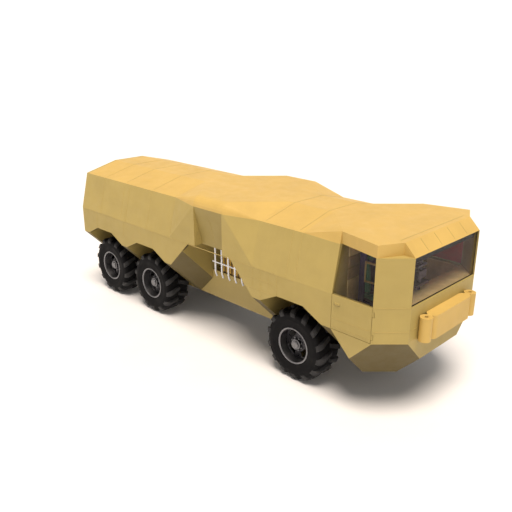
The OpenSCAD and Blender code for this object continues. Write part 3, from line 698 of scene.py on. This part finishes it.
make("headliner", slab((3.13, -1.02, 2.735), (4.06, 1.02, 2.752), 0.006), LINER_CLOTH)
make("sun_band", slab((4.205, -0.985, 2.64), (4.222, 0.985, 2.765), 0.005), SEAL_RUBBER)
for name, paint, rows in (("rear_lining", TRIM, ((1.68, 2.1), (2.5, 2.72))),
                          ("rear_band", PANEL_BROWN, ((2.11, 2.29), (2.31, 2.49)))):
    panels = [slab((3.1, y - 0.33, z0), (3.122, y + 0.33, z1), 0.008)
              for z0, z1 in rows for y in (-0.68, 0, 0.68)]
    make(name, join(*panels), paint)

# The left door has its blind down: a thin sheet just inside the four corners of the glass.
pane = skin_triangles(["door_glass_left"]).reshape(-1, 3)
(x0, _, z0), (x1, _, z1) = pane.min(0), pane.max(0)
corners = []
for x, z in ((x0, z0), (x1, z0), (x1, z1), (x0, z1)):
    near = pane[np.abs(pane[:, 0] - x) + np.abs(pane[:, 2] - z) < 0.02]
    corners.append(near[near[:, 1].argmin()])
corners = np.array(corners)
corners += (corners.mean(0) - corners) * (0.02, 0, 0.02)
sheet = np.concatenate([corners - (0, 0.003, 0), corners - (0, 0.011, 0)])
sheet_faces = [[0, 1, 2], [0, 2, 3], [4, 6, 5], [4, 7, 6]]
sheet_faces += [[k, (k + 1) % 4, (k + 1) % 4 + 4, k + 4] for k in range(4)]
make("cab_door_left_blind", (sheet, sheet_faces), LINER_CLOTH, "cab_door_left", 20)
for name, side in SIDES.items():
    make(f"cab_door_{name}_card", slab((3.2, side * 1.342, 1.5), (3.82, side * 1.328, 1.93), 0.008),
         TRIM, f"cab_door_{name}")

# Seat pads: (place from the seat, half sizes, lean, cloth).
HEAD_WING, BACK_BOLSTER, SEAT_BOLSTER = (0.07, 0.028, 0.08), (0.06, 0.032, 0.27), (0.2, 0.032, 0.05)
pads = {
    "seat_cushion": ((0.2, 0, -0.035), (0.245, 0.225, 0.075), 0.05, SEAT_CLOTH),
    "seat_back": ((0.01, 0, 0.34), (0.06, 0.2, 0.31), -0.1, SEAT_CLOTH),
    "head_pad": ((-0.01, 0, 0.68), (0.055, 0.12, 0.085), 0.0, SEAT_CLOTH),
    "head_wing_left": ((0.03, 0.135, 0.68), HEAD_WING, 0.0, BOLSTER_CLOTH),
    "head_wing_right": ((0.03, -0.135, 0.68), HEAD_WING, 0.0, BOLSTER_CLOTH),
    "back_bolster_left": ((0.05, 0.205, 0.33), BACK_BOLSTER, -0.1, BOLSTER_CLOTH),
    "back_bolster_right": ((0.05, -0.205, 0.33), BACK_BOLSTER, -0.1, BOLSTER_CLOTH),
    "seat_bolster_left": ((0.22, 0.205, 0.01), SEAT_BOLSTER, 0.05, BOLSTER_CLOTH),
    "seat_bolster_right": ((0.22, -0.205, 0.01), SEAT_BOLSTER, 0.05, BOLSTER_CLOTH),
}
for name, (place, half, lean, cloth) in pads.items():
    pad = make(name, cushion(at_seat(*place), half, lean=lean), cloth, angle=70)
seat_base = join(
    slab(at_seat(-0.03, -0.19, -0.14), at_seat(0.42, 0.19, -0.1), 0.01),
    slab((SEAT_X + 0.06, SEAT_Y - 0.12, CAB_FLOOR), at_seat(0.3, 0.12, -0.135), 0.012),
    slab(at_seat(-0.09, -0.24, -0.12), at_seat(-0.05, 0.24, 0.76), 0.012),
    slab(at_seat(-0.08, -0.24, -0.1), at_seat(0.04, -0.215, 0.74), 0.01),
    slab(at_seat(-0.08, 0.215, -0.1), at_seat(0.04, 0.24, 0.74), 0.01))
make("seat_frame", seat_base, SHELL_NAVY, replaces=["driver_seat"])

# The loop beside the seat: a squared half circle with both ends brought back to the shell.
t = np.linspace(-np.pi / 2, np.pi / 2, 40)
loop = np.stack([SEAT_X + 0.2 + 0.24 * np.cos(t) ** 0.7, SEAT_Y - 0.235 + 0 * t,
                 SEAT_Z + 0.43 + 0.16 * np.sin(t)], -1)
path = np.concatenate([[at_seat(0.03, -0.235, 0.27)], loop, [at_seat(0.03, -0.235, 0.59)]])
make("seat_loop", join(tube(path, 0.016, (0, 1, 0), 14),
                       slab(at_seat(0.02, -0.25, 0.25), at_seat(0.05, -0.222, 0.61), 0.006)),
     LOOP_TRIM, angle=50)

# The steering wheel: a ring, three spokes and a turned hub and column along its own axis.
wheel_at = np.array([DASH_X - 0.18, SEAT_Y, DASH_TOP + 0.26])
tip = math.radians(130)
axis = np.array([math.sin(tip), 0, math.cos(tip)])
flat = np.array([[0, 1, 0], np.cross(axis, [0, 1, 0])])
steering = [ring(wheel_at, 0.204, 0.0155, flat, 72, 14)]
spoke = [(-0.017, -0.006), (0.017, -0.006), (0.012, 0.006), (-0.012, 0.006)]
for a in (math.pi / 2, math.pi * 7 / 6, math.pi * 11 / 6):
    out = math.cos(a) * flat[0] + math.sin(a) * flat[1]
    path = [wheel_at + out * distance for distance in (0.02, 0.12, 0.205)]
    steering.append(sweep(path, np.cross(axis, out), axis, spoke))
radii = [(0.02, -0.031), (0.05, -0.028), (0.054, -0.01), (0.04, 0.018), (0.0275, 0.03), (0.0275, 0.41)]
a = np.linspace(0, 2 * np.pi, 32, endpoint=False)[:, None]
r, s = np.array(radii).T
column = (wheel_at + (r * np.cos(a))[..., None] * flat[0] + (r * np.sin(a))[..., None] * flat[1]
          + (s + 0 * a)[..., None] * axis)
faces = grid_faces(32, len(radii), round_rows=True).tolist()
faces += [list(range(end, 32 * len(radii), len(radii))) for end in (0, len(radii) - 1)]
steering.append((column.reshape(-1, 3), faces))
make("steering_ring", join(*steering), SEAL_RUBBER, angle=40,
     replaces=["steering_wheel"])

screens = [slab((3.896, -0.33, 2.175), (3.9, -0.15, 2.29), 0.004),
           slab((3.896, -0.4, 2.055), (3.872, -0.08, 2.085), 0.004)]
make("console_screens", join(*screens), SCREEN)

# ---------- outside fittings ----------

cap = []
for side in SIDES.values():
    cap.append(ring((4.4, side * 0.7, 1.7705), 0.06, 0.006, [(1, 0, 0), (0, 1, 0)], 48, 10))
    cap.append(ring((4.4, side * 0.7, 1.7705), 0.036, 0.004, [(1, 0, 0), (0, 1, 0)], 48, 10))
make("bumper_rings", join(*cap), ROOF_PAINT)

for name, side in SIDES.items():
    y = side * 1.4
    plate = [slab((3.15, y - side * 0.004, 1.8), (3.27, y + side * 0.005, 1.85), 0.004)]
    t = np.linspace(0, np.pi, 16)
    path = np.stack([3.21 - 0.042 * np.cos(t), y + side * (0.002 + 0.02 * np.sin(t)),
                     1.825 + 0 * t], -1)
    plate.append(tube(path, 0.006, (0, 0, 1), 12))
    make(f"cab_door_{name}_handle", join(*plate), HULL_PAINT, f"cab_door_{name}", 45)
    door_skin = skin_triangles([f"door_{name}"])
    lines = [strip((3.115, 0, up_hull(z)), (3.868, 0, up_hull(z)), 1, side, skin=door_skin)
             for z in (-2, -2.7)]
    make(f"cab_door_{name}_strips", join(*lines), STRIP_PAINT, f"cab_door_{name}", 20)
    rear = []
    for z in (1.9, 2.48):
        rear.append(slab((-4.498, side * 0.08, z - 0.03), (-4.506, side * 0.94, z + 0.03), 0.004))
    z = np.linspace(1.68, 2.7, 12)
    rear.append(tube(np.stack([-4.514 + 0 * z, side * 0.09 + 0 * z, z], -1), 0.012, (0, 1, 0), 14))
    for z0 in (1.74, 2.19, 2.64):
        rear.append(slab((-4.498, side * 0.06, z0 - 0.02), (-4.52, side * 0.12, z0 + 0.02), 0.004))
    rear.append(slab((-4.508, side * 0.08, 2.1), (-4.526, side * 0.24, 2.125), 0.006))
    make(f"cargo_door_{name}_rod", join(*rear), STRIP_PAINT, f"cargo_door_{name}", 45)
    make(f"lamp_{name}_housing", slab((-4.498, side * 1.1, 1.66), (-4.515, side * 1.3, 1.76), 0.006),
         SEAL_RUBBER)
    make(f"lamp_{name}_red", slab((-4.51, side * 1.2, 1.672), (-4.521, side * 1.29, 1.748), 0.005),
         RED_LENS)
    make(f"lamp_{name}_amber", slab((-4.51, side * 1.11, 1.672), (-4.521, side * 1.19, 1.748), 0.005),
         AMBER_LENS)

# ---------- stage, light and camera ----------


def studio(name, flat, far, height, material, rise=0.00095, around=96):
    """A round floor, flat out to a radius; past it the height is rise times the square of the
    distance past that radius."""
    a = np.linspace(0, 2 * np.pi, around, endpoint=False)[:, None]
    r = np.concatenate([[0.001, flat / 2], np.linspace(flat, far, 24)])
    z = height + rise * np.maximum(r - flat, 0) ** 2
    points = np.stack([r * np.cos(a), r * np.sin(a), z + 0 * a], -1).reshape(-1, 3)
    faces = grid_faces(around, len(r), round_rows=True).tolist()
    data = bpy.data.meshes.new(name)
    data.from_pydata(points.tolist(), [], faces)
    data.shade_smooth()
    data.materials.append(material)
    made = bpy.data.objects.new(name, data)
    bpy.context.scene.collection.objects.link(made)


floor, n, k, shader = new_material("floor")
k.new(ramp(n, k, noise(n, k, 0.8, 3), [(0.3, (0.76, 0.76, 0.77)), (0.7, (0.8, 0.8, 0.8))]),
      shader.inputs["Base Color"])
shader.inputs["Roughness"].default_value = 0.8
studio("studio_floor", 60, 400, -0.001, floor)


def lamp(name, toward, spread, strength, colour=(1, 1, 1)):
    """A soft light from far away, in the direction toward, as wide as spread degrees of the sky."""
    data = bpy.data.lights.new(name, "SUN")
    data.angle, data.energy, data.color = math.radians(spread), strength, colour
    made = bpy.data.objects.new(name, data)
    bpy.context.scene.collection.objects.link(made)
    made.rotation_euler = Vector(toward).to_track_quat("Z", "Y").to_euler()


lamp("key", (0.2, -0.2, 1), 30, 4.35, (1, 0.88, 0.77))
lamp("fill", (0.7, -0.7, 0.35), 50, 0.12, (1, 0.99, 0.97))
lamp("back", (-0.7, 0.7, 0.5), 60, 0.3)
world = bpy.data.worlds.new("studio")
world.use_nodes = True
world.node_tree.nodes["Background"].inputs["Color"].default_value = (1, 1, 1, 1)
world.node_tree.nodes["Background"].inputs["Strength"].default_value = 0.24
bpy.context.scene.world = world
bpy.context.scene.view_settings.view_transform = "Standard"

camera = bpy.data.objects.new("camera", bpy.data.cameras.new("camera"))
bpy.context.scene.collection.objects.link(camera)
camera.location = (8.652, -8.651, 5.811)
camera.rotation_euler = (Vector((0, 0, 1.486)) - camera.location).to_track_quat("-Z", "Y").to_euler()
camera.data.lens, camera.data.sensor_width = 43.456, 36
camera.data.clip_end = 2000
bpy.context.scene.camera = camera
